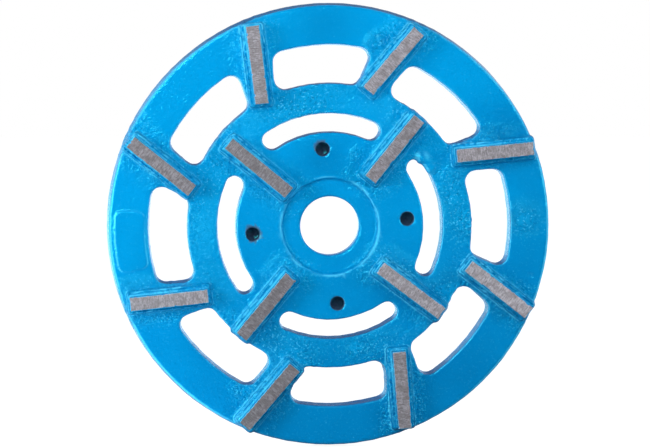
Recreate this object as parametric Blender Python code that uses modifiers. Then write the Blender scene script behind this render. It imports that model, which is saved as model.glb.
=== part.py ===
"""Diamond grinding wheel: an iron face wheel with twelve diamond segments brazed to raised lands.

Everything is modelled with the wheel lying flat and its grinding face up, and an empty then stands it
upright. In the finished model the spin axis is world Y, the grinding face looks along -Y, +Z is up, and
the origin is on the spin axis, halfway through the wheel's whole thickness. Units are metres.
"""

import math

import bmesh
import bpy
from mathutils import Matrix, Vector

NAME = "diamond_grinding_wheel"

# Wheel body, flat plate
WHEEL_RADIUS = 0.125
LAND_LIMIT_RADIUS = 0.1254  # where the outer lands end, just past the rim
BODY_THICKNESS = 0.013
RIM_DRAFT = 0.0016  # how far the rim's wall leans in from the back to the start of the face's round edge
RIM_EDGE = 0.0016  # radius of that round edge
OPENING_DRAFT = 0.0005  # the same for the walls of the windows and slots
OPENING_EDGE = 0.0006
BACK_EDGE = 0.0006
RIM_STEPS = 96
STRAIGHT_STEP = 0.008  # longest chord along an arc of a window or slot
CORNER_STEPS = 4
EDGE_STEPS = 3
SHARP_ANGLE = 35  # degrees; shallower edges are shaded smooth

# Eight windows between the rim and the middle ring
WINDOWS = 8
WINDOW_INNER = 0.0802
WINDOW_OUTER = 0.1013
WINDOW_ANGLE = 3.9  # degrees, centre of the first window
WINDOW_CORNER_RADIUS = 0.0056
# Each window leans: the degrees that its four corners lie from its centre.
WINDOW_INNER_START = -15.0
WINDOW_INNER_END = 18.0
WINDOW_OUTER_START = -17.9
WINDOW_OUTER_END = 14.3

# Four arc slots between the middle ring and the inner disc
SLOTS = 4
SLOT_INNER = 0.0530
SLOT_OUTER = 0.0630
SLOT_ANGLE = 5.4
SLOT_HALF_ANGLE = 33.5
SLOT_CORNER_RADIUS = 0.47 * (SLOT_OUTER - SLOT_INNER)  # almost fully round ends

# Hub
BORE_RADIUS = 0.0166
BORE_CHAMFER = 0.0006
RECESS_RADIUS = 0.0275
RECESS_WALL = 0.0015  # how much narrower the recess is at its floor
RECESS_DEPTH = 0.0025
SEAT_RADIUS = 0.050  # machined mounting face on the back
SEAT_HEIGHT = 0.001
HOLES = 4
HOLE_CIRCLE_RADIUS = 0.0435
HOLE_RADIUS = 0.00385
HOLE_DEPTH = 0.010
HOLE_TIP = 0.0022  # drill point below the full depth
HOLE_ANGLE = 5.5
BORE_STEPS = 64
HOLE_STEPS = 24

# Blank raised pad on the rim
PAD_ANGLE = 184.0
PAD_HALF_ANGLE = 8.7
PAD_INNER = 0.1035
PAD_OUTER = 0.1205
PAD_HEIGHT = 0.0008
PAD_SLOPE = 0.0006
PAD_ROOT = 0.002  # how deep the pad continues inside the plate
PAD_CORNER_RADIUS = 0.004

# Diamond segments, and the land and braze under each
SEGMENT_LENGTH = 0.0434
SEGMENT_WIDTH = 0.0075
SEGMENT_HEIGHT = 0.0074
SEGMENT_EDGE = 0.0003
LAND_SIDE = 0.0021  # land beyond the segment's sides, at its top
LAND_END = 0.0011  # the same beyond its ends
LAND_SLOPE = 0.0011  # how much further the land's foot reaches
LAND_HEIGHT = 0.0025
LAND_ROOT = 0.005  # how deep the land continues inside the plate
LAND_CORNER_RADIUS = 0.0022
BRAZE_BORDER = 0.0006
BRAZE_SLOPE = 0.0004
BRAZE_CORNER_RADIUS = 0.0008
BRAZE_THICKNESS = 0.0005
GAP = 0.0003  # between the land, the braze and the segment

OUTER_SEGMENT_RADIUS = 0.0995
OUTER_SEGMENT_ANGLE = 24.5
OUTER_SEGMENT_SKEW = -19.0  # degrees from radial

INNER_SEGMENT_RADIUS = 0.0565
INNER_SEGMENT_ANGLE = 51.0
INNER_SEGMENT_SKEW = 0.0

# The segments are set by hand. For each one: how far out (metres), how far round the wheel and how far
# turned on the spot (degrees) it ended up from its true place.
OUTER_ERRORS = (
    (0.0010, 0.0, 0.0),
    (-0.0010, 0.0, -1.0),
    (-0.0005, 0.0, 1.5),
    (0.0005, 0.5, 0.5),
    (-0.0010, -0.5, 1.0),
    (0.0010, 0.5, -1.5),
    (0.0, -1.0, 0.0),
    (0.0005, 0.0, 1.5),
)
INNER_ERRORS = (
    (-0.0005, 0.0, 0.0),
    (-0.0045, -0.5, 0.0),
    (0.0005, -0.5, 0.0),
    (0.0005, 0.5, 1.5),
)

# Heights through the wheel, from the back to the grinding plane
TOTAL_THICKNESS = SEAT_HEIGHT + BODY_THICKNESS + LAND_HEIGHT + BRAZE_THICKNESS + SEGMENT_HEIGHT + 2 * GAP
SEAT_Z = -TOTAL_THICKNESS / 2
BACK_Z = SEAT_Z + SEAT_HEIGHT
FACE_Z = BACK_Z + BODY_THICKNESS
LAND_Z = FACE_Z + LAND_HEIGHT
BRAZE_Z = LAND_Z + GAP
SEGMENT_Z = BRAZE_Z + BRAZE_THICKNESS + GAP

OVERLAP = 0.001  # how far a cutter runs past what it cuts


# Scene, collections and materials


def clear_scene():
    for obj in list(bpy.data.objects):
        bpy.data.objects.remove(obj, do_unlink=True)


def new_collection(name):
    collection = bpy.data.collections.new(name)
    bpy.context.scene.collection.children.link(collection)
    return collection


def principled(name, color, roughness, metallic):
    material = bpy.data.materials.new(name)
    material.use_nodes = True
    shader = material.node_tree.nodes["Principled BSDF"]
    shader.inputs["Base Color"].default_value = (*color, 1.0)
    shader.inputs["Roughness"].default_value = roughness
    shader.inputs["Metallic"].default_value = metallic
    return material


def blue_paint():
    return principled("blue_paint", (0.0, 0.27, 0.70), 0.25, 0.0)


def diamond_matrix():
    return principled("diamond_matrix", (0.27, 0.26, 0.25), 0.55, 0.8)


def braze_metal():
    return principled("braze_metal", (0.55, 0.42, 0.20), 0.4, 1.0)


# Outlines


def circle_outline(radius, steps):
    turns = (2 * math.pi * i / steps for i in range(steps))
    return [radius * Vector((math.cos(turn), math.sin(turn))) for turn in turns]


def rounded_outline(corners, radius):
    """A flat outline with round corners, as points no further apart than STRAIGHT_STEP."""
    points = []
    for i, corner in enumerate(corners):
        here = Vector(corner)
        back = (Vector(corners[i - 1]) - here).normalized()
        ahead = (Vector(corners[(i + 1) % len(corners)]) - here).normalized()
        half = back.angle(ahead) / 2
        centre = here + (back + ahead).normalized() * (radius / math.sin(half))
        first = (here + back * (radius / math.tan(half)) - centre).normalized()
        last = (here + ahead * (radius / math.tan(half)) - centre).normalized()
        for step in range(CORNER_STEPS + 1):
            points.append(centre + radius * first.slerp(last, step / CORNER_STEPS))
    outline = []
    for start, end in zip(points, points[1:] + points[:1]):
        pieces = max(1, math.ceil((end - start).length / STRAIGHT_STEP))
        outline += [start.lerp(end, i / pieces) for i in range(pieces)]
    return outline


def wrap_round(outline, middle_radius, angle):
    """Bends a flat outline of (distance round, radius) points round the spin axis, about an angle in degrees.
    The order is turned round, so that the bent outline still runs anticlockwise."""
    turns = [(math.radians(angle) + p.x / middle_radius, p.y) for p in reversed(outline)]
    return [radius * Vector((math.cos(turn), math.sin(turn))) for turn, radius in turns]


def offset_outline(outline, distance):
    """An anticlockwise outline moved sideways, outwards where the distance is positive."""
    moved = []
    for i, point in enumerate(outline):
        along = (outline[(i + 1) % len(outline)] - outline[i - 1]).normalized()
        moved.append(point + distance * Vector((along.y, -along.x)))
    return moved


def arc_shape(angle, inner, outer, spans, corner_radius):
    """A round-cornered opening or pad between two radii. Spans gives the degrees that its inner start, inner
    end, outer end and outer start lie from its centre."""
    middle = (inner + outer) / 2
    radii = (inner, inner, outer, outer)
    corners = [(math.radians(span) * middle, radius) for span, radius in zip(spans, radii)]
    return wrap_round(rounded_outline(corners, corner_radius), middle, angle)


def window_outline(index):
    spans = (WINDOW_INNER_START, WINDOW_INNER_END, WINDOW_OUTER_END, WINDOW_OUTER_START)
    angle = WINDOW_ANGLE + 360 / WINDOWS * index
    return arc_shape(angle, WINDOW_INNER, WINDOW_OUTER, spans, WINDOW_CORNER_RADIUS)


def slot_outline(index):
    spans = (-SLOT_HALF_ANGLE, SLOT_HALF_ANGLE, SLOT_HALF_ANGLE, -SLOT_HALF_ANGLE)
    angle = SLOT_ANGLE + 360 / SLOTS * index
    return arc_shape(angle, SLOT_INNER, SLOT_OUTER, spans, SLOT_CORNER_RADIUS)


def pad_outline():
    spans = (-PAD_HALF_ANGLE, PAD_HALF_ANGLE, PAD_HALF_ANGLE, -PAD_HALF_ANGLE)
    return arc_shape(PAD_ANGLE, PAD_INNER, PAD_OUTER, spans, PAD_CORNER_RADIUS)


# Solids


def add_object(name, mesh, material, collection, parent, matrix=Matrix()):
    obj = bpy.data.objects.new(name, mesh)
    if not mesh.materials:
        mesh.materials.append(material)
    collection.objects.link(obj)
    obj.parent = parent
    obj.matrix_basis = matrix
    return obj


def add_helper(name, mesh, material, collection, parent, matrix=Matrix()):
    """An object that only shapes the wheel body, and isn't a part itself."""
    helper = add_object(name, mesh, material, collection, parent, matrix)
    helper.hide_render = True
    helper.display_type = "WIRE"


def add_loop(bm, outline, height):
    """The closed ring of edges through an outline's points at one height."""
    verts = [bm.verts.new((point.x, point.y, height)) for point in outline]
    return [bm.edges.new((verts[i - 1], verts[i])) for i in range(len(verts))]


def cast_mesh(name, edge, edge_sections, openings=(), opening_sections=()):
    """A plate lofted up its edge and its openings. A section is a (height, how far the wall leans in)."""
    mesh = bpy.data.meshes.new(name)
    bm = bmesh.new()
    walls = [(edge, edge_sections, -1)] + [(opening, opening_sections, 1) for opening in openings]
    rings = []
    for outline, sections, side in walls:
        ring = [add_loop(bm, offset_outline(outline, side * lean), height) for height, lean in sections]
        for lower, upper in zip(ring, ring[1:]):
            bmesh.ops.bridge_loops(bm, edges=lower + upper)
        rings.append(ring)
    for end in (0, -1):
        border = [edge for ring in rings for edge in ring[end]]
        bmesh.ops.triangle_fill(bm, edges=border, use_beauty=True)
    bmesh.ops.recalc_face_normals(bm, faces=bm.faces)
    bm.to_mesh(mesh)
    bm.free()
    return mesh


def wall_sections(draft, edge_radius):
    """A cast wall from back to face: a small back edge, a drafted wall and a round face edge."""
    sections = [(BACK_Z, BACK_EDGE), (BACK_Z + BACK_EDGE, 0.0)]
    for step in range(EDGE_STEPS + 1):
        turn = math.pi / 2 * step / EDGE_STEPS
        height = FACE_Z - edge_radius * (1 - math.sin(turn))
        sections.append((height, draft + edge_radius * (1 - math.cos(turn))))
    return sections


def cone_mesh(name, bottom, top, bottom_radius, top_radius, steps, tip=0.0):
    """A round solid between two heights, with its own radius at each end, and a pointed tip below it."""
    mesh = bpy.data.meshes.new(name)
    bm = bmesh.new()
    bmesh.ops.create_cone(
        bm,
        cap_ends=True,
        segments=steps,
        radius1=bottom_radius,
        radius2=top_radius,
        depth=top - bottom,
        matrix=Matrix.Translation((0.0, 0.0, (bottom + top) / 2)),
    )
    if tip:
        cap = min(bm.faces, key=lambda face: face.calc_center_median().z)
        bmesh.ops.poke(bm, faces=[cap], offset=tip)
    bm.to_mesh(mesh)
    bm.free()
    return mesh


def block_mesh(name, length, width, height):
    """A plain block standing on z = 0, long in X."""
    mesh = bpy.data.meshes.new(name)
    bm = bmesh.new()
    bmesh.ops.create_cube(bm, size=1.0, matrix=Matrix.Translation((0.0, 0.0, 0.5)))
    bmesh.ops.scale(bm, verts=bm.verts, vec=(length, width, height))
    bm.to_mesh(mesh)
    bm.free()
    return mesh


def tapered_block_mesh(name, length, width, foot, height, slope, corner_radius):
    """A block long in X with round upright edges: a straight foot below z = 0, then sides that lean in by
    the slope up to the height. Length and width are those of its top."""
    mesh = bpy.data.meshes.new(name)
    bm = bmesh.new()
    bmesh.ops.create_cube(bm, size=1.0, matrix=Matrix.Translation((0.0, 0.0, -0.5)))
    bmesh.ops.scale(bm, verts=bm.verts, vec=(length + 2 * slope, width + 2 * slope, foot))
    upright = [e for e in bm.edges if abs(e.verts[0].co.z - e.verts[1].co.z) > foot / 2]
    bmesh.ops.bevel(
        bm, geom=upright, offset=corner_radius, segments=CORNER_STEPS, profile=0.5, affect="EDGES"
    )
    top = max(bm.faces, key=lambda face: face.calc_center_median().z)
    bmesh.ops.inset_region(bm, faces=[top], thickness=slope, use_even_offset=True)
    bmesh.ops.translate(bm, verts=top.verts, vec=(0.0, 0.0, height))
    bm.to_mesh(mesh)
    bm.free()
    return mesh


def shade_round(mesh):
    mesh.shade_smooth()
    mesh.set_sharp_from_angle(angle=math.radians(SHARP_ANGLE))


# Where each segment goes


def segment_placements():
    """(name pattern, matrix in the flat wheel) for every segment."""
    outer = (OUTER_SEGMENT_ANGLE, OUTER_SEGMENT_RADIUS, OUTER_SEGMENT_SKEW, OUTER_ERRORS)
    inner = (INNER_SEGMENT_ANGLE, INNER_SEGMENT_RADIUS, INNER_SEGMENT_SKEW, INNER_ERRORS)
    placements = []
    for ring, (first, radius, skew, errors) in (("outer", outer), ("inner", inner)):
        for i, (shift, swing, turn) in enumerate(errors):
            angle = math.radians(first + 360 / len(errors) * i + swing)
            place = Matrix.Rotation(angle, 4, "Z") @ Matrix.Translation((radius + shift, 0.0, 0.0))
            place = place @ Matrix.Rotation(math.radians(skew + turn), 4, "Z")
            placements.append((f"{ring}_{{}}_{i + 1}", place))
    return placements


# Sub-parts


def build_raised_features(placements, material, collection, parent):
    """The lands, the blank pad on the rim and the mounting face on the back, to be joined to the plate."""
    length = SEGMENT_LENGTH + 2 * LAND_END
    width = SEGMENT_WIDTH + 2 * LAND_SIDE
    land = tapered_block_mesh(
        "land", length, width, LAND_ROOT, LAND_HEIGHT, LAND_SLOPE, LAND_CORNER_RADIUS
    )
    for name, place in placements:
        matrix = Matrix.Translation((0.0, 0.0, FACE_Z)) @ place
        add_helper(name.format("land"), land, material, collection, parent, matrix)
    top = FACE_Z + PAD_HEIGHT
    sections = [(FACE_Z - PAD_ROOT, 0.0), (FACE_Z, 0.0), (top, PAD_SLOPE)]
    add_helper("pad", cast_mesh("pad", pad_outline(), sections), material, collection, parent)
    seat = cone_mesh("seat", SEAT_Z, BACK_Z + OVERLAP, SEAT_RADIUS, SEAT_RADIUS, RIM_STEPS)
    add_helper("seat", seat, material, collection, parent)


def build_hub_cutters(material, collection, parent):
    bore = cone_mesh("bore", SEAT_Z - OVERLAP, FACE_Z + OVERLAP, BORE_RADIUS, BORE_RADIUS, BORE_STEPS)
    add_helper("bore_cutter", bore, material, collection, parent)
    floor = FACE_Z - RECESS_DEPTH
    wall = RECESS_WALL / RECESS_DEPTH
    mouth = RECESS_RADIUS + wall * OVERLAP
    recess = cone_mesh("recess", floor, FACE_Z + OVERLAP, RECESS_RADIUS - RECESS_WALL, mouth, BORE_STEPS)
    add_helper("recess_cutter", recess, material, collection, parent)
    chamfer = cone_mesh(
        "chamfer",
        floor - BORE_CHAMFER,
        floor + OVERLAP,
        BORE_RADIUS,
        BORE_RADIUS + BORE_CHAMFER + OVERLAP,
        BORE_STEPS,
    )
    add_helper("chamfer_cutter", chamfer, material, collection, parent)
    end = FACE_Z - HOLE_DEPTH
    hole = cone_mesh("hole", end, FACE_Z + OVERLAP, HOLE_RADIUS, HOLE_RADIUS, HOLE_STEPS, HOLE_TIP)
    for i in range(HOLES):
        turn = Matrix.Rotation(math.radians(HOLE_ANGLE + 360 / HOLES * i), 4, "Z")
        place = turn @ Matrix.Translation((HOLE_CIRCLE_RADIUS, 0.0, 0.0))
        add_helper(f"hole_cutter_{i + 1}", hole, material, collection, parent, place)


def build_wheel_body(placements, material, parts, parent):
    rim = circle_outline(WHEEL_RADIUS, RIM_STEPS)
    openings = [window_outline(i) for i in range(WINDOWS)] + [slot_outline(i) for i in range(SLOTS)]
    rim_sections = wall_sections(RIM_DRAFT, RIM_EDGE)
    opening_sections = wall_sections(OPENING_DRAFT, OPENING_EDGE)
    mesh = cast_mesh("wheel_body", rim, rim_sections, openings, opening_sections)
    body = add_object("wheel_body", mesh, material, parts, parent)
    raised = new_collection("raised_features")
    build_raised_features(placements, material, raised, parent)
    add_boolean(body, "raised_features", "UNION", raised)
    cutters = new_collection("hub_cutters")
    build_hub_cutters(material, cutters, parent)
    add_boolean(body, "hub_cutters", "DIFFERENCE", cutters)
    limits = new_collection("limits")
    top = LAND_Z + OVERLAP
    limit = cone_mesh("limit", SEAT_Z - OVERLAP, top, LAND_LIMIT_RADIUS, LAND_LIMIT_RADIUS, RIM_STEPS)
    add_helper("rim_limit", limit, material, limits, parent)
    add_boolean(body, "rim_limit", "INTERSECT", limits)
    shade_round(mesh)


def add_boolean(obj, name, operation, operands):
    boolean = obj.modifiers.new(name, "BOOLEAN")
    boolean.operation = operation
    boolean.solver = "EXACT"
    boolean.operand_type = "COLLECTION"
    boolean.collection = operands


def build_segments(placements, material, parts, parent):
    mesh = block_mesh("segment", SEGMENT_LENGTH, SEGMENT_WIDTH, SEGMENT_HEIGHT)
    for name, place in placements:
        matrix = Matrix.Translation((0.0, 0.0, SEGMENT_Z)) @ place
        segment = add_object(name.format("segment"), mesh, material, parts, parent, matrix)
        edges = segment.modifiers.new("edges", "BEVEL")
        edges.width = SEGMENT_EDGE
        edges.segments = 1


def build_brazes(placements, material, parts, parent):
    length = SEGMENT_LENGTH + 2 * BRAZE_BORDER
    width = SEGMENT_WIDTH + 2 * BRAZE_BORDER
    foot = BRAZE_THICKNESS / 2
    mesh = tapered_block_mesh("braze", length, width, foot, foot, BRAZE_SLOPE, BRAZE_CORNER_RADIUS)
    for name, place in placements:
        matrix = Matrix.Translation((0.0, 0.0, BRAZE_Z + foot)) @ place
        add_object(name.format("braze"), mesh, material, parts, parent, matrix)


def main():
    clear_scene()
    parts = new_collection(NAME)
    stand = bpy.data.objects.new("spin_axis", None)
    stand.matrix_basis = Matrix.Rotation(math.radians(90), 4, "X")
    parts.objects.link(stand)
    placements = segment_placements()
    build_wheel_body(placements, blue_paint(), parts, stand)
    build_segments(placements, diamond_matrix(), parts, stand)
    build_brazes(placements, braze_metal(), parts, stand)


main()
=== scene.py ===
"""The looks of the diamond grinding wheel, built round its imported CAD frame.

Shapes are worked out in the flat wheel: x to the right, y up the face and z out of the grinding face, with
the origin on the spin axis. STAND turns that upright, so that the grinding face looks along -Y.
"""

import itertools
import math

import bmesh
import bpy
import numpy as np
from mathutils import Matrix, Vector
from mathutils.bvhtree import BVHTree


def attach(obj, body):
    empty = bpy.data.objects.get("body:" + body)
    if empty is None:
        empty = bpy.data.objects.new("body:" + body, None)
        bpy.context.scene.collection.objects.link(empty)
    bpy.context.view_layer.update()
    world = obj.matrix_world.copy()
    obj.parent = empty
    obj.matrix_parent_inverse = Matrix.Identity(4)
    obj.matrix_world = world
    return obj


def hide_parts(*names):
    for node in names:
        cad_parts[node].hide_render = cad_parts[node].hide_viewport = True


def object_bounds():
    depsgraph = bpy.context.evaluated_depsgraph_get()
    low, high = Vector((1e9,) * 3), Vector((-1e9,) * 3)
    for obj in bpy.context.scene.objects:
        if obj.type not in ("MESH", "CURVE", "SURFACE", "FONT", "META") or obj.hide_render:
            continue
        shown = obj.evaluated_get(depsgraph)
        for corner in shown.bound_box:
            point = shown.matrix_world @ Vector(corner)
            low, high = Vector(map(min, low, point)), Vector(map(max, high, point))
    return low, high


MM = 0.001
STAND = Matrix.Rotation(math.radians(90), 4, "X")

# The wheel's features, as the CAD has them
RIM_RADIUS = 125 * MM
BORE_RADIUS = 16.6 * MM
RECESS_RADIUS = 27.5 * MM
RECESS_DEPTH = 2.5 * MM
SEAT_RADIUS = 50 * MM
HOLE_RADIUS = 3.85 * MM
HOLE_DEPTH = 10 * MM
HOLE_TIP = 2.2 * MM
HOLE_CIRCLE_RADIUS = 43.5 * MM
HOLE_ANGLE = 5.5
HOLES = 4
LAND_HEIGHT = 2.5 * MM
LAND_SIDE = 2.1 * MM
LAND_END = 1.1 * MM
LAND_GAP = 1.1 * MM  # the braze bed and the gaps above and below it

# Chamfers: the bore's at the recess, and those at its back end and round the holes
BORE_CHAMFER = 0.9 * MM
EDGE_BREAK = 0.5 * MM

# The threads in the holes, which the CAD leaves out
THREAD_PITCH = 1.25 * MM
THREAD_DEPTH = 0.3 * MM

# Between the slots and the windows, where the casting is rougher
RING_INNER = 63 * MM
RING_OUTER = 81 * MM

# Mesh fineness
BODY_VOXEL = 0.7 * MM
BODY_FACES = 190_000
SEGMENT_VOXEL = 0.45 * MM
FILLET_STEP = 0.3 * MM

WALL_GROWTH = 0.1 * MM  # makes up for what smoothing takes off the casting's back edges
FACING_STOCK = 0.5 * MM  # left on the cast seat, so that facing cleans up all of it
CUTTER_REACH = 2 * MM  # how far a cutter goes past what it cuts
FILLET_REACH = 6 * MM  # how far a fillet's mesh goes past its segment
FILLET_SUNK = 0.6 * MM  # how deep a fillet's outer rim is sunk in the casting
FILLET_DEPTH = 1.5 * MM  # how far a fillet's underside is below the casting's surface
FILLET_TOP = 2.2 * MM  # the most that a fillet climbs up its segment
EDGE_DROP = 1.2 * MM  # the surface counts as an opening's wall when it is this far below the face
RAY_HEIGHT = 100 * MM  # rays that find the casting's surface start here

# How far each fillet and segment is moved through the noise from the one before, so that no two are alike
FILLET_SHIFT = np.array([37.0, 11.0, 0.0]) * MM
SEGMENT_SHIFT = np.array([53.0, 29.0, 0.0]) * MM


# Noise


def hashed(cells, seed):
    """A number between -1 and 1 for every whole-numbered cell, always the same for the same cell."""
    mixed = cells[:, 0] * 73856093 ^ cells[:, 1] * 19349663 ^ cells[:, 2] * 83492791 ^ seed * 50331653
    mixed = (mixed ^ (mixed >> 13)) * 1274126177 & 0x7FFFFFFF
    mixed = (mixed ^ (mixed >> 15)) * 668265263 & 0x7FFFFFFF
    return mixed / 0x3FFFFFFF - 1


def lumps(points, size, seed):
    """Smooth noise between -1 and 1 at each point, with lumps about one size across."""
    scaled = points / size + 1000
    cell = np.floor(scaled).astype(np.int64)
    part = scaled - cell
    part = part * part * (3 - 2 * part)
    total = np.zeros(len(points))
    for corner in itertools.product((0, 1), repeat=3):
        weight = np.prod(np.where(corner, part, 1 - part), axis=1)
        total += weight * hashed(cell + corner, seed)
    return total


def soft_step(values, low, high):
    """The values eased from 0 at low to 1 at high."""
    part = np.clip((values - low) / (high - low), 0, 1)
    return part * part * (3 - 2 * part)


def band(values, middle, width):
    """1 where the value is the middle one, falling away on both sides."""
    return np.exp(-(((values - middle) / width) ** 2))


# Mesh helpers


def coordinates(mesh):
    """The mesh's corners, one row each."""
    values = np.empty(len(mesh.vertices) * 3, np.float32)
    mesh.vertices.foreach_get("co", values)
    return values.reshape(-1, 3).astype(float)


def set_coordinates(mesh, values):
    mesh.vertices.foreach_set("co", values.astype(np.float32).ravel())
    mesh.update()


def normals(mesh):
    values = np.empty(len(mesh.vertices) * 3, np.float32)
    mesh.vertex_normals.foreach_get("vector", values)
    return values.reshape(-1, 3).astype(float)


def set_attribute(mesh, name, values):
    """Stores a number or a vector for each corner, for the material to read."""
    kind = "FLOAT_VECTOR" if values.ndim == 2 else "FLOAT"
    field = "vector" if values.ndim == 2 else "value"
    attribute = mesh.attributes.new(name, kind, "POINT")
    attribute.data.foreach_set(field, values.astype(np.float32).ravel())


def new_object(name, mesh):
    obj = bpy.data.objects.new(name, mesh)
    bpy.context.scene.collection.objects.link(obj)
    return obj


def apply_modifiers(obj):
    """Gives the object the mesh that its modifiers make, and removes them."""
    graph = bpy.context.evaluated_depsgraph_get()
    mesh = bpy.data.meshes.new_from_object(obj.evaluated_get(graph))
    obj.modifiers.clear()
    obj.data = mesh


def remesh(obj, voxel, smoothing):
    """Makes the object one even closed skin, with its edges rounded by so many rounds of smoothing."""
    voxels = obj.modifiers.new("voxels", "REMESH")
    voxels.mode = "VOXEL"
    voxels.voxel_size = voxel
    smooth = obj.modifiers.new("smooth", "SMOOTH")
    smooth.factor = 0.5
    smooth.iterations = smoothing
    apply_modifiers(obj)


def lathe_mesh(name, profile, steps, wobble=None):
    """A closed turned solid from (radius, height) points, bottom to top. Wobble(turn, heights) adds to the
    radius, which is how a thread is cut."""
    turns = np.arange(steps) * 2 * np.pi / steps
    radii, heights = np.array(profile, float).T
    radius = np.tile(radii[:, None], (1, steps))
    if wobble:
        radius = radius + wobble(turns[None, :], heights[:, None])
    x = radius * np.cos(turns)
    y = radius * np.sin(turns)
    z = np.tile(heights[:, None], (1, steps))
    verts = [tuple(v) for v in np.stack([x, y, z], -1).reshape(-1, 3)]
    faces = [tuple(reversed(range(steps)))]
    for row, step in itertools.product(range(len(profile) - 1), range(steps)):
        here = row * steps + step
        beside = row * steps + (step + 1) % steps
        faces.append((here, beside, beside + steps, here + steps))
    faces.append(tuple(range((len(profile) - 1) * steps, len(profile) * steps)))
    mesh = bpy.data.meshes.new(name)
    mesh.from_pydata(verts, [], faces)
    return mesh


def finish_piece(obj, material, body="root"):
    """Stands a flat piece upright, gives it its material and lets it ride on its body."""
    obj.data.transform(STAND)
    obj.data.materials.clear()
    obj.data.materials.append(material)
    obj.data.shade_smooth()
    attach(obj, body)


# Material helpers


class Nodes:
    """A node tree, with a short way to add each kind of node."""

    def __init__(self, tree):
        self.tree = tree

    def node(self, kind, inputs=None, **settings):
        node = self.tree.nodes.new(kind)
        for key, value in settings.items():
            setattr(node, key, value)
        for key, value in (inputs or {}).items():
            self.put(node.inputs[key], value)
        return node

    def put(self, socket, value):
        if isinstance(value, bpy.types.NodeSocket):
            self.tree.links.new(value, socket)
        else:
            socket.default_value = value

    def math(self, operation, first, second=0.0):
        return self.node("ShaderNodeMath", {0: first, 1: second}, operation=operation).outputs[0]

    def vector_math(self, operation, first, second=(0.0, 0.0, 0.0)):
        return self.node("ShaderNodeVectorMath", {0: first, 1: second}, operation=operation)

    def ramp(self, value, low, high, bottom=0.0, top=1.0):
        """The value eased from bottom to top as it goes from low to high."""
        inputs = {"Value": value, "From Min": low, "From Max": high, "To Min": bottom, "To Max": top}
        return self.node("ShaderNodeMapRange", inputs, interpolation_type="SMOOTHSTEP").outputs[0]

    def choose(self, factor, first, second):
        """The first value where the factor is 0, and the second where it is 1."""
        node = self.node("ShaderNodeMix", {0: factor, 2: first, 3: second}, data_type="FLOAT")
        return node.outputs[0]

    def choose_vector(self, factor, first, second):
        """The same for vectors."""
        node = self.node("ShaderNodeMix", {0: factor, 4: first, 5: second}, data_type="VECTOR")
        return node.outputs[1]

    def mix(self, factor, first, second):
        """A mixture of two colours."""
        node = self.node("ShaderNodeMix", data_type="RGBA")
        self.put(node.inputs["Factor"], factor)
        for socket, value in ((node.inputs[6], first), (node.inputs[7], second)):
            if not isinstance(value, bpy.types.NodeSocket):
                value = (*value, 1.0)
            self.put(socket, value)
        return node.outputs[2]

    def bump(self, height, distance, strength=1.0, under=None):
        """Bumps as high as the distance where the height is 1, on top of any bumps under them."""
        inputs = {"Height": height, "Distance": distance, "Strength": strength}
        if under:
            inputs["Normal"] = under
        return self.node("ShaderNodeBump", inputs).outputs["Normal"]


class Shader(Nodes):
    """A material's nodes, placed by the object's own coordinates."""

    def __init__(self, name):
        self.material = bpy.data.materials.new(name)
        self.material.use_nodes = True
        super().__init__(self.material.node_tree)
        self.surface = self.tree.nodes["Principled BSDF"]
        self.place = self.node("ShaderNodeTexCoord").outputs["Object"]

    def set(self, **values):
        for key, value in values.items():
            self.put(self.surface.inputs[key.replace("_", " ")], value)

    def attribute(self, name, output="Fac"):
        return self.node("ShaderNodeAttribute", attribute_name=name).outputs[output]

    def noise(self, size, detail=2.0, roughness=0.5, place=None):
        """Noise with lumps about one size (metres) across."""
        inputs = {"Vector": place or self.place, "Scale": 1 / size, "Detail": detail, "Roughness": roughness}
        return self.node("ShaderNodeTexNoise", inputs).outputs["Fac"]


# Materials

# painted shade: the dark blue laid into hollows of the sand, creases, the recess's corner, shaded patches and
# walls that face up
PAINT_SHADE = (0.0, 0.07, 0.24)
PAINT_DEEP = (0.0, 0.205, 0.50)
PAINT_PALE = (0.0, 0.31, 0.69)
# painted highlight: the pale cyan for sparkles, nib highlights and edge highlights
PAINT_HIGHLIGHT = (0.08, 0.62, 0.95)
PAINT_SHINE = 0.9
SHEEN = (0.05, 0.85, 1.0)
CLOUD_SIZE = 30 * MM
GLITTER_SIZE = 1.2 * MM
SAND_SIZE = 1.7 * MM
SAND_DEPTH = 2.6 * MM
PEEL_SIZE = 2.2 * MM  # the enamel's orange peel
PEEL_DEPTH = 0.22 * MM
NIB_SPACING = 2.2 * MM
NIB_HEIGHT = 0.18 * MM
GROUND_ROUGHNESS = 0.55
TURNING_FEED = 0.8 * MM
TURNING_DEPTH = 0.02 * MM


def base_coat_and_painted_light(shader, grain):
    """The paint's colour: a random cloudy tone, painted paler towards the upper left and darker towards the
    lower right as painted light, and paler where the casting is sandy as a painted highlight.
    """
    split = shader.node("ShaderNodeSeparateXYZ", {0: shader.place}).outputs
    # painted light: the paint is paler towards the upper left and darker towards the lower right
    painted_light_slope = shader.math("SUBTRACT", split["Z"], shader.math("MULTIPLY", split["X"], 0.4))
    cloud = shader.math("MULTIPLY", shader.noise(CLOUD_SIZE, 3.0), 0.16)
    colour = shader.mix(shader.ramp(shader.math("ADD", painted_light_slope, cloud), -0.06, 0.20), PAINT_DEEP, PAINT_PALE)
    # painted highlight: sandy places are painted paler
    return shader.mix(shader.ramp(grain, 0.6, 1.3, 0.0, 0.8), colour, PAINT_PALE)


def paint_nibs_and_highlights(shader, grain):
    """Round nibs in the paint, 1 in the middle of each: more of them where the casting is sandy. The paint
    also uses this to paint each nib's middle pale, a painted highlight.
    """
    cells = shader.node("ShaderNodeTexVoronoi", {"Vector": shader.place, "Scale": 1 / NIB_SPACING}).outputs
    chance = shader.node("ShaderNodeSeparateColor", {"Color": cells["Color"]}).outputs["Red"]
    chance = shader.math("ADD", chance, shader.math("MULTIPLY", grain, 0.26))
    middle = shader.ramp(cells["Distance"], 0.3, 0.0)
    return shader.math("MULTIPLY", middle, shader.ramp(chance, 0.95, 1.15))


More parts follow.
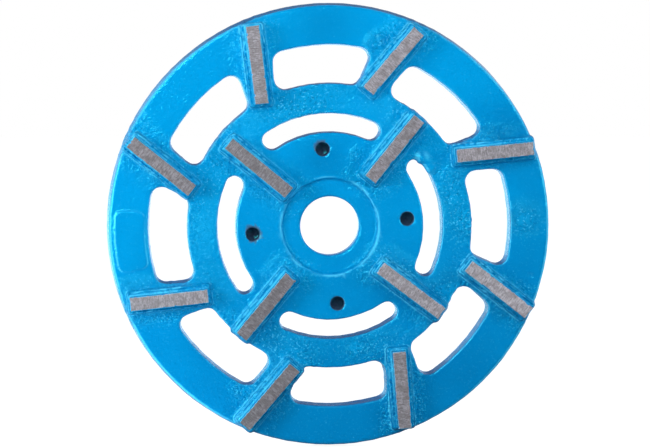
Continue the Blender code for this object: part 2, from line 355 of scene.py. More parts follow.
def add_paint(shader):
    """Glossy sprayed enamel over rough iron: returns its colour, roughness and normal. The attribute "grain"
    says how sandy the iron is; a second attribute holds painted highlights (above 0), pale along edges, and
    painted shade (below 0), dark in creases, corners and shaded patches."""
    grain = shader.attribute("grain")
    painted_light = shader.attribute("painted_light")
    rough_sand = shader.noise(SAND_SIZE, 3.0, 0.6)
    # painted shade: darker paint in the hollows of the sand
    pit_shade = shader.math("MULTIPLY", shader.ramp(rough_sand, 0.50, 0.30, 0.0, 0.35), grain)
    # painted highlight: pale sparkle on the sandy grain
    sparkle_highlight = shader.ramp(shader.noise(GLITTER_SIZE, 1.0), 0.58, 0.72, 0.0, 0.55)
    sparkle_highlight = shader.math("MULTIPLY", sparkle_highlight, grain)
    nibs_and_highlights = paint_nibs_and_highlights(shader, grain)
    painted_shade = shader.math("MULTIPLY", painted_light, -1.0)
    colour = shader.mix(pit_shade, base_coat_and_painted_light(shader, grain), PAINT_SHADE)
    colour = shader.mix(sparkle_highlight, colour, PAINT_HIGHLIGHT)
    # painted highlight: the middle of each nib is painted pale
    colour = shader.mix(nibs_and_highlights, colour, PAINT_HIGHLIGHT)
    # painted highlight along edges (above 0), and painted shade (below 0) in creases, corners and shaded
    # patches
    colour = shader.mix(shader.math("MAXIMUM", painted_light, 0.0), colour, PAINT_HIGHLIGHT)
    colour = shader.mix(shader.math("MAXIMUM", painted_shade, 0.0), colour, PAINT_SHADE)
    sand = shader.math("MULTIPLY", rough_sand, shader.math("MINIMUM", grain, 0.75))
    normal = shader.bump(shader.noise(PEEL_SIZE, 1.0), PEEL_DEPTH)
    normal = shader.bump(sand, SAND_DEPTH, 1.0, normal)
    normal = shader.bump(nibs_and_highlights, NIB_HEIGHT, 1.0, normal)
    roughness = shader.ramp(shader.noise(6 * MM, 3.0), 0.3, 0.7, 0.07, 0.14)
    shader.set(Specular_IOR_Level=PAINT_SHINE, Specular_Tint=(*SHEEN, 1.0))
    return colour, roughness, normal


def blue_paint():
    """The paint on its own, for the braze."""
    shader = Shader("blue_paint")
    colour, roughness, normal = add_paint(shader)
    shader.set(Base_Color=colour, Roughness=roughness, Normal=normal)
    return shader.material


def body_finish():
    """Blue paint that is dull on the walls that face up and darkened there as painted shade, dark navy in the
    holes as painted shade, and a bare turned seat on the back."""
    shader = Shader("painted_casting")
    colour, roughness, normal = add_paint(shader)
    bare = shader.attribute("machined")
    hole = shader.attribute("hole")
    wall = shader.attribute("wall")
    across = shader.vector_math("MULTIPLY", shader.place, (1.0, 0.0, 1.0)).outputs["Vector"]
    radius = shader.vector_math("LENGTH", across).outputs["Value"]
    turned = shader.math("SINE", shader.math("MULTIPLY", radius, 2 * math.pi / TURNING_FEED))
    steel = shader.mix(shader.noise(8 * MM, 4.0), (0.30, 0.29, 0.28), (0.46, 0.45, 0.44))
    # painted shade: dark navy in the holes in place of their bare metal
    dark = shader.mix(shader.noise(2 * MM, 3.0), (0.03, 0.07, 0.15), (0.08, 0.15, 0.26))
    turned_normal = shader.bump(turned, TURNING_DEPTH, 0.6)
    # painted shade on the walls that face up
    colour = shader.mix(shader.math("MULTIPLY", wall, 0.75), colour, PAINT_SHADE)
    colour = shader.mix(bare, colour, steel)
    colour = shader.mix(hole, colour, dark)
    shader.set(
        Base_Color=colour,
        Roughness=shader.math("ADD", shader.math("MULTIPLY", bare, 0.12), roughness),
        Metallic=shader.math("MULTIPLY", bare, 0.9),
        Normal=shader.choose_vector(bare, normal, turned_normal),
        Specular_IOR_Level=shader.ramp(wall, 0.0, 1.0, PAINT_SHINE, 0.15),
    )
    return shader.material


def segment_finish():
    """Ground sintered metal on top, blue paint on the sides."""
    shader = Shader("diamond_segment")
    paint, paint_roughness, paint_normal = add_paint(shader)
    local = shader.attribute("local", "Vector")
    tone = shader.attribute("tone")
    lines = shader.node("ShaderNodeMapping", {"Vector": local, "Scale": (1.0, 0.14, 1.0)})
    scratches = shader.noise(0.5 * MM, 3.0, 0.7, lines.outputs[0])
    speckle = shader.noise(1.1 * MM, 4.0, 0.75)
    patches = shader.noise(4 * MM, 2.0)
    mottle = shader.choose(0.45, scratches, speckle)
    grey = shader.mix(shader.ramp(mottle, 0.32, 0.68), (0.12, 0.111, 0.120), (0.46, 0.445, 0.49))
    grey = shader.mix(shader.ramp(patches, 0.42, 0.66, 0.0, 0.6), grey, (0.17, 0.155, 0.16))
    toned = shader.vector_math("MULTIPLY", grey, tone).outputs["Vector"]
    metal_normal = shader.bump(mottle, 0.06 * MM, 0.7)
    bare = shader.attribute("bare")
    shader.set(
        Base_Color=shader.mix(bare, paint, toned),
        Roughness=shader.choose(bare, paint_roughness, GROUND_ROUGHNESS),
        Metallic=shader.math("MULTIPLY", bare, 0.35),
        Specular_Tint=shader.mix(bare, SHEEN, (0.97, 0.95, 1.0)),
        Normal=shader.choose_vector(bare, paint_normal, metal_normal),
    )
    return shader.material


# Places read from the frame


def flat_points(node):
    """The corners of a CAD node's mesh, in the flat wheel."""
    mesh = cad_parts[node].data
    return coordinates(mesh) @ np.array(STAND.inverted().to_3x3()).T


def flat_frame(node):
    """Where a segment lies in the flat wheel: its matrix (x along it, z up, origin in the middle of its
    foot) and its length, width and height."""
    points = flat_points(node)
    middle = (points.min(0) + points.max(0)) / 2
    spread = (points - points.mean(0))[:, :2]
    along = np.linalg.svd(spread, full_matrices=False)[2][0]
    if along @ middle[:2] < 0:
        along = -along
    turn = Matrix.Rotation(math.atan2(along[1], along[0]), 4, "Z")
    foot = points[:, 2].min()
    place = Matrix.Translation((middle[0], middle[1], foot)) @ turn
    local = points @ np.array(turn.to_3x3())
    size = local.max(0) - local.min(0)
    return place, size


def hole_places():
    """Where the middle of each small hole is on the flat wheel."""
    for i in range(HOLES):
        turn = math.radians(HOLE_ANGLE + 360 / HOLES * i)
        yield HOLE_CIRCLE_RADIUS * math.cos(turn), HOLE_CIRCLE_RADIUS * math.sin(turn)


# The casting


def body_heights():
    """The heights of the seat on the back and of the cast face."""
    seat = flat_points("wheel_body")[:, 2].min()
    face = flat_points("outer_segment_1")[:, 2].min() - LAND_GAP - LAND_HEIGHT
    return seat, face


def cast_blank(seat_z, face_z):
    """The CAD casting with its bore and holes filled in, as it comes out of the sand."""
    bm = bmesh.new()
    bm.from_mesh(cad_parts["wheel_body"].data)
    bmesh.ops.transform(bm, matrix=STAND.inverted(), verts=bm.verts)
    bmesh.ops.remove_doubles(bm, verts=bm.verts, dist=0.001 * MM)
    floor = face_z - RECESS_DEPTH
    plugs = [(0.0, 0.0, BORE_RADIUS + MM, seat_z, floor)]
    plugs += [(x, y, HOLE_RADIUS + MM, seat_z + 2 * MM, face_z) for x, y in hole_places()]
    for x, y, radius, bottom, top in plugs:
        bmesh.ops.create_cone(
            bm,
            cap_ends=True,
            segments=48,
            radius1=radius,
            radius2=radius,
            depth=top - bottom,
            matrix=Matrix.Translation((x, y, (bottom + top) / 2)),
        )
    mesh = bpy.data.meshes.new("wheel_casting")
    bm.to_mesh(mesh)
    bm.free()
    return new_object("wheel_casting", mesh)


def grain_mask(points, segments):
    """How sandy the casting is at each point: most round the segments, on the middle ring and in the sandy
    patches."""
    nearest = np.full(len(points), 1.0)
    for place, size in segments.values():
        local = (points - np.array(place.translation)) @ np.array(place.to_3x3())
        outside = np.abs(local[:, :2]) - size[:2] / 2
        nearest = np.minimum(nearest, np.linalg.norm(np.maximum(outside, 0), axis=1))
    radius = np.linalg.norm(points[:, :2], axis=1)
    ring = soft_step(radius, RING_INNER - 3 * MM, RING_INNER + 3 * MM)
    ring = ring * soft_step(radius, RING_OUTER + 3 * MM, RING_OUTER - 3 * MM)
    near = soft_step(nearest, 16 * MM, 3 * MM)
    patch = soft_step(lumps(points, 22 * MM, 5), -0.5, 0.6)
    grain = 0.12 + (0.6 * near + 0.4 * ring) * (0.2 + 0.8 * patch)
    return np.clip(grain + 1.1 * sandiness(points), 0, 1.3)


# Lumps and dents of the casting: degrees round the wheel, millimetres out from the axis, and how wide and
# how high in millimetres
BLEMISHES = (
    (75.0, 108.5, 2.2, 0.9),
    (78.0, 105.5, 1.6, 0.7),
    (73.5, 104.0, 1.4, 0.5),
    (36.5, 64.0, 4.0, 2.6),
    (30.0, 65.5, 3.5, 1.6),
    (-14.0, 116.5, 1.3, -0.8),
    (-71.5, 115.0, 1.3, -0.8),
)
# Sandy patches, where the mould crumbled and where the paint is painted paler as a highlight: the same
# without the height
SANDY = (
    (76, 106, 5),
    (30, 96, 7),
    (14, 72, 6),
    (3, 76, 7),
    (330, 78, 9),
    (100, 71, 13),
    (235, 70, 8),
    (242, 102, 6),
    (70, 42, 3),
    (112, 22.5, 2.5),
    (10, 22.5, 2.5),
    (297, 23, 2.5),
    (282, 70, 4),
    (2, 109, 8),
)
# Patches of painted shade: the same with how dark at the end
PAINTED_SHADE_PATCHES = (
    (26, 112, 18, 0.45),
    (92, 112, 20, 0.28),
    (97, 36, 15, 0.32),
    (312, 112, 16, 0.18),
)


def closeness(points, turn, radius, width):
    """1 in the middle of a round patch, and less further out."""
    angle = math.radians(turn)
    middle = np.array([math.cos(angle), math.sin(angle)]) * radius * MM
    reach = np.linalg.norm(points[:, :2] - middle, axis=1) / (width * MM)
    return np.exp(-(reach**2)) * (points[:, 2] > 0)


def blemish_heights(points):
    """How far the lumps raise each point and the dents lower it."""
    return sum(rise * MM * closeness(points, *patch) for *patch, rise in BLEMISHES)


def sandiness(points):
    """1 in the middle of a sandy patch, and less further out."""
    return np.max([closeness(points, *patch) for patch in SANDY], axis=0)


def roughen_casting(mesh, segments):
    """Gives the casting its sand-cast skin: a slow wander of every surface, lumps, grain where the mould was
    rough, and stock to be faced off the seat."""
    points = coordinates(mesh)
    grain = grain_mask(points, segments)
    height = 0.16 * MM * lumps(points, 17 * MM, 1) + 0.08 * MM * lumps(points, 6 * MM, 2)
    height += grain * 0.30 * MM * lumps(points, 2.8 * MM, 3)
    height += grain * 0.24 * MM * lumps(points, 1.8 * MM, 4)
    height += blemish_heights(points)
    radius = np.linalg.norm(points[:, :2], axis=1)
    recess_edge = band(radius, RECESS_RADIUS, 2 * MM) * (points[:, 2] > 0)
    height += recess_edge * 0.3 * MM * lumps(points, 3 * MM, 7)
    outward = normals(mesh)
    height += WALL_GROWTH * soft_step(np.abs(outward[:, 2]), 0.9, 0.5)
    height += FACING_STOCK * soft_step(-outward[:, 2], 0.8, 0.95) * (radius < SEAT_RADIUS)
    set_coordinates(mesh, points + outward * height[:, None])


def cut(obj, cutter):
    """Takes the cutter's shape away from the object, and removes the cutter."""
    boolean = obj.modifiers.new("cut", "BOOLEAN")
    boolean.object = cutter
    boolean.operation = "DIFFERENCE"
    boolean.solver = "MANIFOLD"
    apply_modifiers(obj)
    bpy.data.objects.remove(cutter, do_unlink=True)


def machine_casting(obj, seat_z, face_z):
    """Faces the seat on the back and cuts the bore with its chamfers and the tapped holes."""
    facing_radius = SEAT_RADIUS + CUTTER_REACH
    facing = [(facing_radius, seat_z - CUTTER_REACH), (facing_radius, seat_z)]
    cut(obj, new_object("facing", lathe_mesh("facing", facing, 128)))
    floor = face_z - RECESS_DEPTH
    bore = [
        (BORE_RADIUS + EDGE_BREAK + CUTTER_REACH, seat_z - CUTTER_REACH),
        (BORE_RADIUS + EDGE_BREAK, seat_z),
        (BORE_RADIUS, seat_z + EDGE_BREAK),
        (BORE_RADIUS, floor - BORE_CHAMFER),
        (BORE_RADIUS + BORE_CHAMFER, floor),
        (BORE_RADIUS + BORE_CHAMFER + CUTTER_REACH, floor + CUTTER_REACH),
    ]
    cut(obj, new_object("bore", lathe_mesh("bore", bore, 128)))
    for x, y in hole_places():
        hole = new_object("hole", tap_mesh(face_z))
        hole.location = (x, y, 0.0)
        bpy.context.view_layer.update()
        cut(obj, hole)


def tap_mesh(face_z):
    """The cutter for one tapped hole: a drill's cone, a thread and a countersink."""
    depths = np.linspace(face_z - HOLE_DEPTH, face_z - 0.6 * MM, 50)
    mouth = HOLE_RADIUS + EDGE_BREAK
    profile = [
        (0.05 * MM, depths[0] - HOLE_TIP),
        (HOLE_RADIUS - THREAD_DEPTH, depths[0] - 0.1 * MM),
        *((HOLE_RADIUS, depth) for depth in depths),
        (mouth, face_z),
        (mouth + CUTTER_REACH, face_z + CUTTER_REACH),
    ]

    def thread(turns, heights):
        tapped = (heights >= depths[0]) & (heights <= depths[-1])
        phase = heights / THREAD_PITCH - turns / (2 * math.pi)
        return np.where(tapped, THREAD_DEPTH * (np.abs(2 * (phase % 1) - 1) - 0.5), 0.0)

    return lathe_mesh("hole", profile, 32, thread)


def casting_painted_light(points, outward):
    """Painted highlight (above 0) along the face's edges, most where they turn left, and round the hub
    recess's rim; painted shade (below 0) in the recess's corner and in a few patches."""
    radius = np.linalg.norm(points[:, :2], axis=1)
    slant = np.linalg.norm(outward[:, :2], axis=1) + 1e-9
    leftward = -outward[:, 0] / slant
    sideways = np.maximum(soft_step(leftward, 0.25, 0.7), 0.4 * soft_step(-leftward, 0.25, 0.7))
    slope = soft_step(outward[:, 2], 0.45, 0.75) * soft_step(outward[:, 2], 0.95, 0.87)
    rim = soft_step(radius, RIM_RADIUS - 6 * MM, RIM_RADIUS - 3 * MM)
    edge = 0.85 * slope * (0.1 + 0.9 * np.maximum(sideways, rim * soft_step(-leftward, 0.4, 0.8)))
    for x, y in hole_places():
        edge = edge * (np.linalg.norm(points[:, :2] - (x, y), axis=1) > HOLE_RADIUS + 1.5 * MM)
    patchy = soft_step(lumps(points, 5 * MM, 8), -0.6, 0.4)
    # painted highlight round the recess's rim; painted shade in its corner and in the shaded patches
    brim = 0.85 * band(radius, RECESS_RADIUS + 0.3 * MM, 0.5 * MM) * patchy
    corner = 0.6 * band(radius, RECESS_RADIUS - 1.7 * MM, 0.6 * MM)
    painted_shade = sum(amount * closeness(points, *patch) for *patch, amount in PAINTED_SHADE_PATCHES)
    return (np.maximum(edge, brim) - corner - painted_shade) * (points[:, 2] > 0)


def mark_finishes(mesh, seat_z, segments):
    """Attributes for the material: the paint's grain, its painted highlights and painted shade, the walls
    that face up (painted shade), the bare seat and the holes (painted shade)."""
    points = coordinates(mesh)
    radius = np.linalg.norm(points[:, :2], axis=1)
    set_attribute(mesh, "grain", grain_mask(points, segments))
    outward = normals(mesh)
    set_attribute(mesh, "painted_light", casting_painted_light(points, outward))
    # the walls that face up are marked for painted shade
    upward = soft_step(outward[:, 1], 0.6, 0.9) * soft_step(outward[:, 2], 0.5, 0.3)
    set_attribute(mesh, "wall", upward * soft_step(-outward[:, 2], 0.5, 0.3))
    seat = (points[:, 2] < seat_z + 0.05 * MM) & (radius < SEAT_RADIUS + 2 * MM)
    set_attribute(mesh, "machined", seat.astype(float))
    holes = np.zeros(len(points))
    for x, y in hole_places():
        reach = np.linalg.norm(points[:, :2] - (x, y), axis=1)
        inside = (reach < HOLE_RADIUS + 0.45 * MM) & (points[:, 2] > seat_z + MM)
        holes = np.maximum(holes, inside * 1.0)
    set_attribute(mesh, "hole", holes)


def flatten_seat(mesh, seat_y):
    """Shades the turned seat flat, so that its chamfer doesn't bend its shading."""
    for face in mesh.polygons:
        if abs(face.center.y - seat_y) < 0.02 * MM and face.normal.y > 0.999:
            face.use_smooth = False


def build_casting(segments):
    """Casts, roughens and machines the body, and returns the height of its cast face."""
    seat_z, face_z = body_heights()
    casting = cast_blank(seat_z, face_z)
    remesh(casting, BODY_VOXEL, 2)
    roughen_casting(casting.data, segments)
    machine_casting(casting, seat_z, face_z)
    thin = casting.modifiers.new("thin", "DECIMATE")
    casting.data.calc_loop_triangles()
    thin.ratio = min(1.0, BODY_FACES / len(casting.data.loop_triangles))
    apply_modifiers(casting)
    mark_finishes(casting.data, seat_z, segments)
    finish_piece(casting, body_finish())
    casting.data.set_sharp_from_angle(angle=math.radians(55))
    flatten_seat(casting.data, -seat_z)
    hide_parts("wheel_body")
    return face_z


# The painted braze round each segment


def land_share(outside):
    """How far over the land's rim each point is: 0 at the segment's sides, 1 at the land's own edge."""
    return np.linalg.norm(np.maximum(outside, 0) / (LAND_END, LAND_SIDE), axis=1)


def fillet_profile(local, size, seed):
    """How much paint and braze stands on the casting at each point, in a segment's own frame."""
    outside = np.abs(local[:, :2]) - size[:2] / 2
    beyond = np.linalg.norm(np.maximum(outside, 0), axis=1)
    flat = local * (1, 1, 0) + FILLET_SHIFT * seed
    width = MM * (1.2 + 0.5 * lumps(flat, 6 * MM, 11))
    climb = MM * (1.3 + 0.8 * lumps(flat, 5 * MM, 12))
    fillet = climb * np.clip(1 - beyond / width, 0, 1) ** 2
    ridge = 1 - np.abs(lumps(flat, 3.2 * MM, 13))
    beads = 0.35 * MM * ridge**4 * soft_step(beyond, 3.4 * MM, 1.5 * MM)
    over = land_share(outside)
    lip = 0.45 * MM * band(over, 0.9, 0.2) * (0.5 + 0.9 * lumps(flat, 2.4 * MM, 16))
    crumbs = 0.4 * MM * np.clip(lumps(flat, 1.3 * MM, 14) - 0.3, 0, 1)
    crumbs = crumbs * soft_step(beyond, 4.5 * MM, 1.5 * MM)
    skin = 0.07 * MM * lumps(flat, 1.6 * MM, 15)
    edge = soft_step(beyond, 5.5 * MM, 3.5 * MM)
    return (0.1 * MM + fillet + beads + lip + crumbs + skin) * edge - FILLET_SUNK * (1 - edge)


def fillet_painted_light(local, turn, size, seed):
    """Painted highlight over the land's edges and along the fillet's foot (up to 1), brighter on the sides
    towards the upper left, and painted shade in a crease (down to -1).
    """
    outside = np.abs(local[:, :2]) - size[:2] / 2
    over = land_share(outside)
    flat = local * (1, 1, 0) + FILLET_SHIFT * seed
    shift = 0.32 * lumps(flat, 4 * MM, 18)
    broken = soft_step(lumps(flat, 1.8 * MM, 17), -0.6, 0.3)
    faint = soft_step(lumps(flat, 7 * MM, 19), -0.7, 0.1)
    # painted light: sides towards the upper left are painted brighter, edge lines are painted highlights and
    # the crease is painted shade
    sunny = 0.7 + 0.4 * np.sign(local @ turn.T @ (-0.7, 0.7, 0.0))
    land_edge = 1.1 * band(over + shift, 1.0, 0.24) * broken * (0.2 + 0.8 * faint)
    foot = 0.85 * band(over, 0.15, 0.28) * (0.5 + 0.5 * faint)
    outer_edge = 0.55 * band(over + 2 * shift, 1.7, 0.2) * (1 - 0.7 * broken) * faint
    crease = 0.25 * band(over + shift, 0.62, 0.14) * (1 - 0.8 * broken)
    return np.clip(np.maximum(np.maximum(land_edge, foot), outer_edge) * sunny - crease, -1, 1)


def build_fillet(name, node, place, size, surface, face_z, seed, paint):
    """A skin of painted braze draped over the land, from under the segment out to where it thins away."""
    turn = np.array(place.to_3x3())
    origin = np.array(place.translation)
    x = np.arange(-size[0] / 2 - FILLET_REACH, size[0] / 2 + FILLET_REACH, FILLET_STEP)
    y = np.arange(-size[1] / 2 - FILLET_REACH, size[1] / 2 + FILLET_REACH, FILLET_STEP)
    grid = np.stack([*np.meshgrid(x, y, indexing="ij"), np.zeros((len(x), len(y)))], -1).reshape(-1, 3)
    flat = grid @ turn.T + origin
    down = Vector((0.0, 0.0, -1.0))
    heights = np.full(len(flat), np.nan)
    for i, point in enumerate(flat):
        hit = surface.ray_cast(Vector((point[0], point[1], RAY_HEIGHT)), down)[0]
        if hit:
            heights[i] = hit.z
    solid = heights > face_z - EDGE_DROP
    near_edge = solid.reshape(len(x), len(y)).astype(float)
    for _ in range(3):
        near_edge = blurred(near_edge)
    support = soft_step(near_edge.ravel(), 0.55, 0.95)
    extra = fillet_profile(grid, size, seed) * support - FILLET_SUNK * (1 - support)
    extra = np.minimum(extra, place.translation.z + FILLET_TOP - heights)
    top = flat.copy()
    top[:, 2] = heights + extra
    bottom = flat.copy()
    bottom[:, 2] = heights - FILLET_DEPTH
    mesh = slab_mesh(name, top, bottom, np.isfinite(heights).reshape(len(x), len(y)))
    fillet = new_object(name, mesh)
    points = coordinates(mesh)
    set_attribute(mesh, "grain", 0.4 + 0.7 * soft_step(lumps(points, 9 * MM, 21), -0.5, 0.5))
    set_attribute(mesh, "painted_light", fillet_painted_light((points - origin) @ turn, turn, size, seed))
    finish_piece(fillet, paint)
    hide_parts(node)


def blurred(grid):
    """Each cell as the average of itself and its eight neighbours."""
    padded = np.pad(grid, 1, mode="edge")
    rows, columns = grid.shape
    shifts = itertools.product(range(3), repeat=2)
    return sum(padded[i : i + rows, j : j + columns] for i, j in shifts) / 9


def slab_mesh(name, top, bottom, present):
    """A closed slab between two matching grids of points, over the biggest patch of cells that have all four
    corners present."""
    rows, columns = present.shape
    cells = present[:-1, :-1] & present[1:, :-1] & present[1:, 1:] & present[:-1, 1:]
    cells = largest_patch(cells)
    count = rows * columns
    faces = []
    for i, j in zip(*np.nonzero(cells)):
        ring = (i * columns + j, (i + 1) * columns + j, (i + 1) * columns + j + 1, i * columns + j + 1)
        faces.append(ring)
        faces.append(tuple(count + k for k in reversed(ring)))
        for side, (di, dj) in enumerate(((0, -1), (1, 0), (0, 1), (-1, 0))):
            beside = 0 <= i + di < rows - 1 and 0 <= j + dj < columns - 1 and cells[i + di, j + dj]
            if not beside:
                a, b = ring[side], ring[(side + 1) % 4]
                faces.append((b, a, count + a, count + b))
    verts = np.concatenate([top, bottom])
    used = sorted({k for face in faces for k in face})
    index = {k: n for n, k in enumerate(used)}
    corners = [tuple(verts[k]) for k in used]
    mesh = bpy.data.meshes.new(name)
    mesh.from_pydata(corners, [], [tuple(index[k] for k in face) for face in faces])
    return mesh


def largest_patch(cells):
    """The biggest group of cells that touch along their sides."""
    label = np.zeros(cells.shape, int)
    sizes = [0]
    for start in zip(*np.nonzero(cells)):
        if label[start]:
            continue
        sizes.append(0)
        label[start] = len(sizes) - 1
        todo = [start]
        while todo:
            i, j = todo.pop()
            sizes[-1] += 1
            for di, dj in ((1, 0), (-1, 0), (0, 1), (0, -1)):
                a, b = i + di, j + dj
                inside = 0 <= a < cells.shape[0] and 0 <= b < cells.shape[1]
                if inside and cells[a, b] and not label[a, b]:
                    label[a, b] = len(sizes) - 1
                    todo.append((a, b))
    return label == int(np.argmax(sizes))


# The segments


def build_segment(name, node, place, size, seed, tone, material):
    """A block with rough, chipped edges and a flat ground top."""
    bm = bmesh.new()
    bmesh.ops.create_cube(bm, size=1.0, matrix=Matrix.Translation((0.0, 0.0, 0.5)))
    bmesh.ops.scale(bm, verts=bm.verts, vec=tuple(size))
    mesh = bpy.data.meshes.new(name)
    bm.to_mesh(mesh)
    bm.free()
    segment = new_object(name, mesh)
    remesh(segment, SEGMENT_VOXEL, 2)
    mesh = segment.data
    points = coordinates(mesh)
    spot = points + SEGMENT_SHIFT * seed
    height = 0.10 * MM * lumps(spot, 4 * MM, 31) + 0.07 * MM * lumps(spot, 1.4 * MM, 32)
    edge = (np.abs(points[:, :2]) - size[:2] / 2).max(1)
    chips = np.clip(lumps(spot * (1, 1, 0), 2.2 * MM, 33) - 0.5, 0, 1)
    top_edge = soft_step(points[:, 2], size[2] - 0.8 * MM, size[2] - 0.1 * MM)
    height -= 0.9 * MM * chips * top_edge * soft_step(edge, -0.7 * MM, -0.3 * MM)
    points += normals(mesh) * height[:, None]
    ground = points[:, 2] > size[2] - 0.25 * MM
    points[:, 2] = np.where(ground, size[2], points[:, 2])
    edge = (np.abs(points[:, :2]) - size[:2] / 2).max(1)
    ragged = 0.12 * MM * lumps(spot, 1.2 * MM, 34)
    bare = ground & (edge < -0.14 * MM + ragged)
    set_coordinates(mesh, points)
    set_attribute(mesh, "local", points + SEGMENT_SHIFT * seed)
    set_attribute(mesh, "tone", np.full((len(points), 3), tone))
    set_attribute(mesh, "bare", bare.astype(float))
    set_attribute(mesh, "grain", np.full(len(points), 0.3))
    # painted highlight: the paint round the ground top is painted pale, the sides faintly
    set_attribute(mesh, "painted_light", np.where(ground, 0.7, 0.1))
    mesh.transform(place)
    finish_piece(segment, material)
    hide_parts(node)


# How light each segment's ground top is, going round the wheel
TONES = {"outer": (1.0, 1.0, 0.87, 0.66, 1.05, 0.65, 0.87, 1.27), "inner": (0.82, 0.63, 0.63, 1.12)}


def cad_surface():
    """The CAD body's surface in the flat wheel, for rays to hit."""
    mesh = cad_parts["wheel_body"].data
    corners = [Vector(corner) for corner in flat_points("wheel_body")]
    return BVHTree.FromPolygons(corners, [face.vertices[:] for face in mesh.polygons])


def build_segments_and_braze(segments, face_z):
    """Every segment with its fillet, the outer ring first."""
    surface = cad_surface()
    paint = blue_paint()
    metal = segment_finish()
    seed = 0
    for ring, tones in TONES.items():
        for i, tone in enumerate(tones):
            seed += 1
            node = f"{ring}_segment_{i + 1}"
            place, size = segments[node]
            name = f"{ring}_diamond_segment_{i + 1}"
            build_segment(name, node, place, size, seed, tone, metal)
            node = f"{ring}_braze_{i + 1}"
            name = f"{ring}_painted_braze_{i + 1}"
            build_fillet(name, node, place, size, surface, face_z, seed, paint)


# Stage

# Strength of the white room's front and back
ROOM_FRONT = 0.02
ROOM_BACK = 1.1
ROOM_TOP = 0.3  # the share that is left above the horizon, straight behind the wheel
KEY_POWER = 4.6
SIDE_POWER = 2.2
FRONT_POWER = 6.0
GLINT_POWER = 5.0
GLOSS_COLOUR = (0.60, 0.80, 1.0)
LEFT_COLOUR = (0.45, 0.95, 1.0)
FLOOR_SIZE = 6.0
FLOOR_GLOW = 0.93  # the floor's own light as the camera sees it; the next three are what the wheel sees
FLOOR_BOUNCE = 0.05
FLOOR_BEHIND = 1.6
FLOOR_LEFT = 2.2


def build_floor(bottom):
    """A white floor that keeps only a faint shadow. What the wheel sees of it is dark in front, and bright
    behind and close by on the left."""
    mesh = bpy.data.meshes.new("floor")
    bm = bmesh.new()
    bmesh.ops.create_grid(bm, x_segments=1, y_segments=1, size=FLOOR_SIZE)
    bm.to_mesh(mesh)
    bm.free()
    floor = new_object("floor", mesh)
    floor.location.z = bottom - 0.3 * MM
    shader = Shader("pale_floor")
    seen = shader.node("ShaderNodeLightPath").outputs["Is Camera Ray"]
    shader.set(Base_Color=(0.25, 0.25, 0.25, 1.0), Roughness=0.9, Specular_IOR_Level=0.0)
    split = shader.node("ShaderNodeSeparateXYZ", {0: shader.place}).outputs
    bounce = shader.ramp(split["Y"], 0.0, 0.5, FLOOR_BOUNCE, FLOOR_BEHIND)
    left = shader.ramp(split["X"], -0.04, -0.10, 0.0, FLOOR_LEFT)
    left = shader.math("MULTIPLY", left, shader.ramp(shader.math("ABSOLUTE", split["Y"]), 0.10, 0.02))
    bounce = shader.math("MAXIMUM", bounce, left)
    tint = shader.mix(shader.ramp(split["X"], -0.4, 0.2), LEFT_COLOUR, GLOSS_COLOUR)
    shader.set(Emission_Color=shader.mix(seen, tint, (1.0, 1.0, 1.0)))
    shader.set(Emission_Strength=shader.choose(seen, bounce, FLOOR_GLOW))
    mesh.materials.append(shader.material)


def build_world():
    """White to the camera. The wheel sees a white sweep behind and below it, and a dark room behind the
    camera."""
    world = bpy.data.worlds.new("studio")
    world.use_nodes = True
    room = Nodes(world.node_tree)
    room.tree.nodes.clear()
    place = room.node("ShaderNodeTexCoord").outputs["Generated"]
    split = room.node("ShaderNodeSeparateXYZ", {0: place}).outputs
    behind = room.ramp(split["Y"], -0.30, 0.35, ROOM_FRONT, ROOM_BACK)
    low = room.ramp(split["Z"], 0.10, 0.0, ROOM_TOP, 1.0)
    high = room.ramp(split["Z"], 0.45, 0.75, 0.0, 1.0)
    side = room.ramp(room.math("ABSOLUTE", split["X"]), 0.08, 0.35)
    lit = room.math("MAXIMUM", room.math("MAXIMUM", low, high), side)
    gloss = room.math("MULTIPLY", behind, lit)
    seen = room.node("ShaderNodeLightPath").outputs["Is Camera Ray"]
    strength = room.choose(seen, gloss, 1.0)
    colour = room.mix(seen, GLOSS_COLOUR, (1.0, 1.0, 1.0))
    background = room.node("ShaderNodeBackground", {"Color": colour, "Strength": strength})
    out = room.node("ShaderNodeOutputWorld")
    room.tree.links.new(background.outputs[0], out.inputs[0])
    bpy.context.scene.world = world


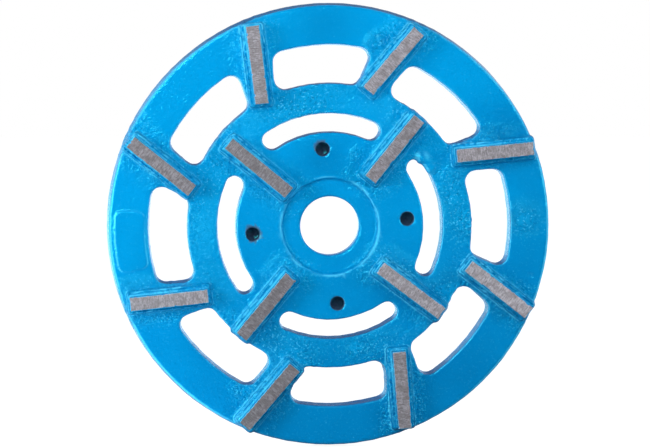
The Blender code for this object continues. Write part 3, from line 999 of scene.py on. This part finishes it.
def add_softbox(name, place, width, power):
    """A square light that faces the wheel's middle."""
    light = bpy.data.lights.new(name, "AREA")
    light.shape = "SQUARE"
    light.size = width
    light.energy = power
    lamp = bpy.data.objects.new(name, light)
    bpy.context.scene.collection.objects.link(lamp)
    lamp.location = place
    lamp.rotation_euler = (-Vector(place)).to_track_quat("-Z", "Y").to_euler()
    lamp.visible_camera = False
    return lamp


def build_stage(bottom):
    build_floor(bottom)
    build_world()
    add_softbox("key", (-0.70, -0.50, 0.12), 0.30, KEY_POWER)
    add_softbox("side", (0.70, -0.50, 0.15), 0.25, SIDE_POWER)
    glint = add_softbox("glint", (-0.38, -0.80, 0.45), 0.22, GLINT_POWER)
    glint.visible_diffuse = False
    front = add_softbox("front", (0.0, -0.85, 0.45), 0.70, FRONT_POWER)
    front.visible_glossy = False


def build_camera():
    """Looks at the grinding face from a little to the left and above."""
    azimuth = math.radians(-3.4)
    elevation = math.radians(3.8)
    distance = 1.3
    target = Vector((-2.8 * MM, 0.0, 1.2 * MM))
    across = math.cos(elevation)
    direction = Vector((math.sin(azimuth) * across, -math.cos(azimuth) * across, math.sin(elevation)))
    data = bpy.data.cameras.new("camera")
    data.lens = 128.5
    camera = bpy.data.objects.new("camera", data)
    bpy.context.scene.collection.objects.link(camera)
    camera.location = target + direction * distance
    camera.rotation_euler = (-direction).to_track_quat("-Z", "Y").to_euler()
    bpy.context.scene.camera = camera


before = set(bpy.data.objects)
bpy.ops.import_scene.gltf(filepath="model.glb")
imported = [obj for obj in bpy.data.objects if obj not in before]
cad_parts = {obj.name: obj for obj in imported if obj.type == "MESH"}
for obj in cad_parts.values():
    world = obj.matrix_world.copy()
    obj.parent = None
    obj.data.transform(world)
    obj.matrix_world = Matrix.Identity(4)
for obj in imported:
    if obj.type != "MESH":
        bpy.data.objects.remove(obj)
cad_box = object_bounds()

segments = {node: flat_frame(node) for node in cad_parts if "segment" in node}
face_z = build_casting(segments)
build_segments_and_braze(segments, face_z)
build_stage(cad_box[0][2])
build_camera()
bpy.context.scene.view_settings.view_transform = "Standard"
